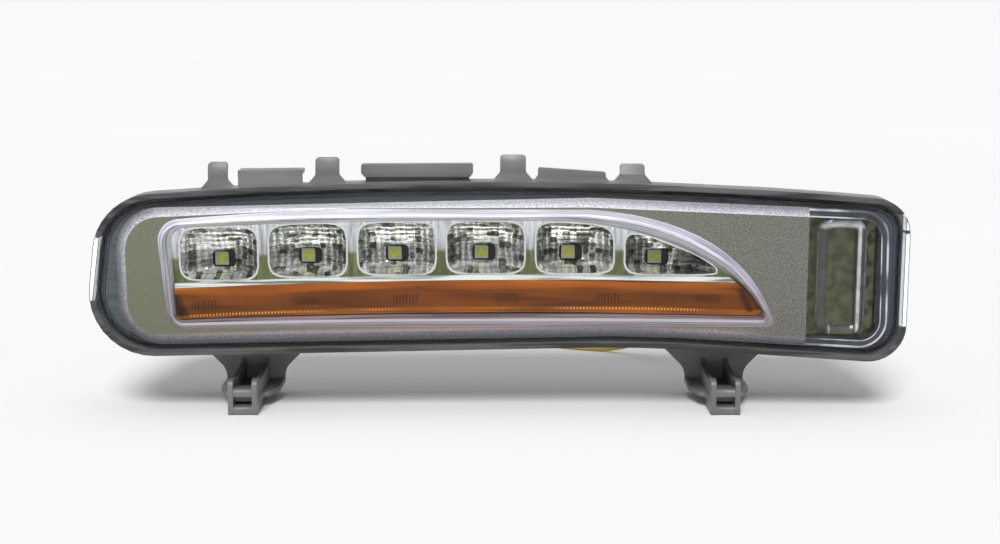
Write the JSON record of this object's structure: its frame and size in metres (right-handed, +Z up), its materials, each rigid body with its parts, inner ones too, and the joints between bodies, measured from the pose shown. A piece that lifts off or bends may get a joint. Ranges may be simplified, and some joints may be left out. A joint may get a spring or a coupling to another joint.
{
  "type": "daytime running light",
  "caption": "Slim sealed daytime running light with faceted cups over a fluted amber turn strip, a frosted lens, top tabs and clip feet",
  "frame": {"origin": "bottom centre of the lamp, on the ground under its two clip feet, the lead left out", "axes": "+X along the lamp to the viewer's right, +Y from the lens to the back, +Z up"},
  "size_m": [0.3, 0.14, 0.0964],
  "materials": {
    "housing_grey": "satin",
    "lens_clear": "clear, frosted on the long face",
    "sealant": "satin",
    "metallised": "mirror",
    "metallised_bright": "mirror",
    "amber": "fluted",
    "optic_clear": "clear",
    "board_green": "satin",
    "led_white": "satin",
    "led_amber": "satin",
    "screw_steel": "satin",
    "black_rubber": "matte",
    "ferrite": "matte",
    "capacitor_can": "satin",
    "chip_black": "matte",
    "plug_plastic": "satin",
    "lead_yellow": "satin",
    "wire_red": "satin",
    "black_plastic": "satin",
    "pin_brass": "polished"
  },
  "bodies": {
    "root": {"housing": "housing_grey", "lens": "lens_clear", "seal_bead": "sealant", "bezel": "metallised", "reflector": "metallised_bright", "amber_lens": "amber", "end_optic": "optic_clear", "led_board": "board_green", "white_led_1": "led_white", "white_led_2": "led_white", "white_led_3": "led_white", "white_led_4": "led_white", "white_led_5": "led_white", "white_led_6": "led_white", "amber_led_1": "led_amber", "amber_led_2": "led_amber", "amber_led_3": "led_amber", "amber_led_4": "led_amber", "amber_led_5": "led_amber", "amber_led_6": "led_amber", "board_screws": "screw_steel", "bezel_screws": "screw_steel", "screw_seals": "black_rubber", "driver_board": "board_green", "driver_coil": "ferrite", "driver_capacitor": "capacitor_can", "driver_chip": "chip_black", "driver_terminal": "plug_plastic", "feed_wire": "lead_yellow", "board_wires": "wire_red", "vent_cap": "black_plastic", "wire_grommet": "black_rubber", "lead": "lead_yellow", "lead_hank": "lead_yellow", "hank_tie": "black_plastic", "lead_tail": "lead_yellow", "connector": "plug_plastic", "connector_pin": "pin_brass"}
  },
  "joints": []
}
